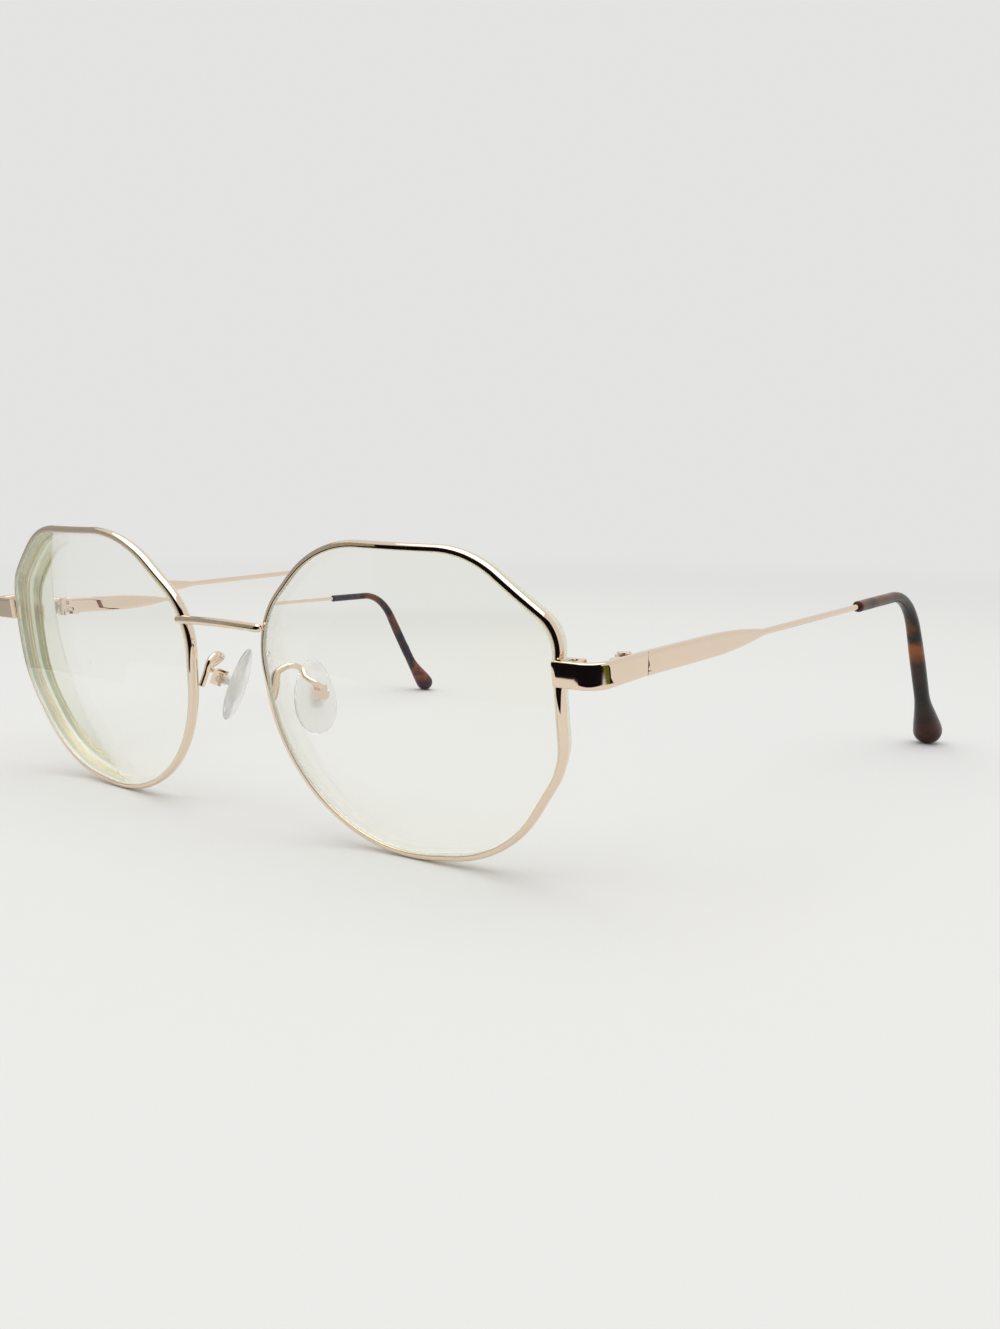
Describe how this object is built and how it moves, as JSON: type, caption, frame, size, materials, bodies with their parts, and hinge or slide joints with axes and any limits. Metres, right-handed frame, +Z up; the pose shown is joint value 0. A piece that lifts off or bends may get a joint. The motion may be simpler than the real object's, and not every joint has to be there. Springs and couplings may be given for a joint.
{
  "type": "eyeglasses",
  "caption": "Metal eyeglasses with octagonal full rims, a wire bridge, rocking nose pads on looped arms, and temples that fold on screwed hinges and end in curved ear tips.",
  "frame": {"origin": "centre of the overall box, on the level that the rims and the temple tips stand on", "axes": "+X towards the wearer's left temple, +Y from the front back to the temple tips, +Z up"},
  "size_m": [0.1402, 0.1456, 0.0473],
  "materials": {
    "frame_metal": "polished nickel alloy with a pale rose gold plating",
    "screw_steel": "turned stainless steel",
    "lens_glass": "clear, faintly green at the edge, with an antireflection coating",
    "tip_acetate": "polished tortoise acetate, dark brown with amber patches",
    "pad_insert": "hard grey-clear plastic",
    "pad_silicone": "soft milky clear silicone"
  },
  "bodies": {
    "front": {"left_rim": "frame_metal", "right_rim": "frame_metal", "bridge": "frame_metal", "left_end_piece": "frame_metal", "right_end_piece": "frame_metal", "left_upper_closing_block": "frame_metal", "right_upper_closing_block": "frame_metal", "left_lower_closing_block": "frame_metal", "right_lower_closing_block": "frame_metal", "left_closing_screw": "screw_steel", "right_closing_screw": "screw_steel", "left_lens": "lens_glass", "right_lens": "lens_glass", "left_front_hinge_leaf": "frame_metal", "right_front_hinge_leaf": "frame_metal", "left_hinge_screw": "screw_steel", "right_hinge_screw": "screw_steel", "left_pad_arm": "frame_metal", "right_pad_arm": "frame_metal", "left_pad_box": "frame_metal", "right_pad_box": "frame_metal", "left_pad_screw": "screw_steel", "right_pad_screw": "screw_steel"},
    "left_temple_arm": {"left_temple": "frame_metal", "left_temple_tip": "tip_acetate", "left_temple_hinge_leaf": "frame_metal"},
    "right_temple_arm": {"right_temple": "frame_metal", "right_temple_tip": "tip_acetate", "right_temple_hinge_leaf": "frame_metal"},
    "left_pad": {"left_nose_pad": "pad_silicone", "left_pad_core": "pad_insert"},
    "right_pad": {"right_nose_pad": "pad_silicone", "right_pad_core": "pad_insert"}
  },
  "joints": [
    {"name": "left_temple_fold", "type": "hinge", "parent": "front", "child": "left_temple_arm", "pos_m": [0.0665, -0.05841, 0.03106], "axis": [0, 0, 1], "range_deg": [0, 90]},
    {"name": "right_temple_fold", "type": "hinge", "parent": "front", "child": "right_temple_arm", "pos_m": [-0.0665, -0.05841, 0.03106], "axis": [0, 0, -1], "range_deg": [0, 81]},
    {"name": "left_pad_rock", "type": "hinge", "parent": "front", "child": "left_pad", "pos_m": [0.01155, -0.06123, 0.02198], "axis": [0.4695, 0.8829, 0], "range_deg": [-10, 10]},
    {"name": "right_pad_rock", "type": "hinge", "parent": "front", "child": "right_pad", "pos_m": [-0.01155, -0.06123, 0.02198], "axis": [-0.4695, 0.8829, 0], "range_deg": [-10, 10]}
  ]
}
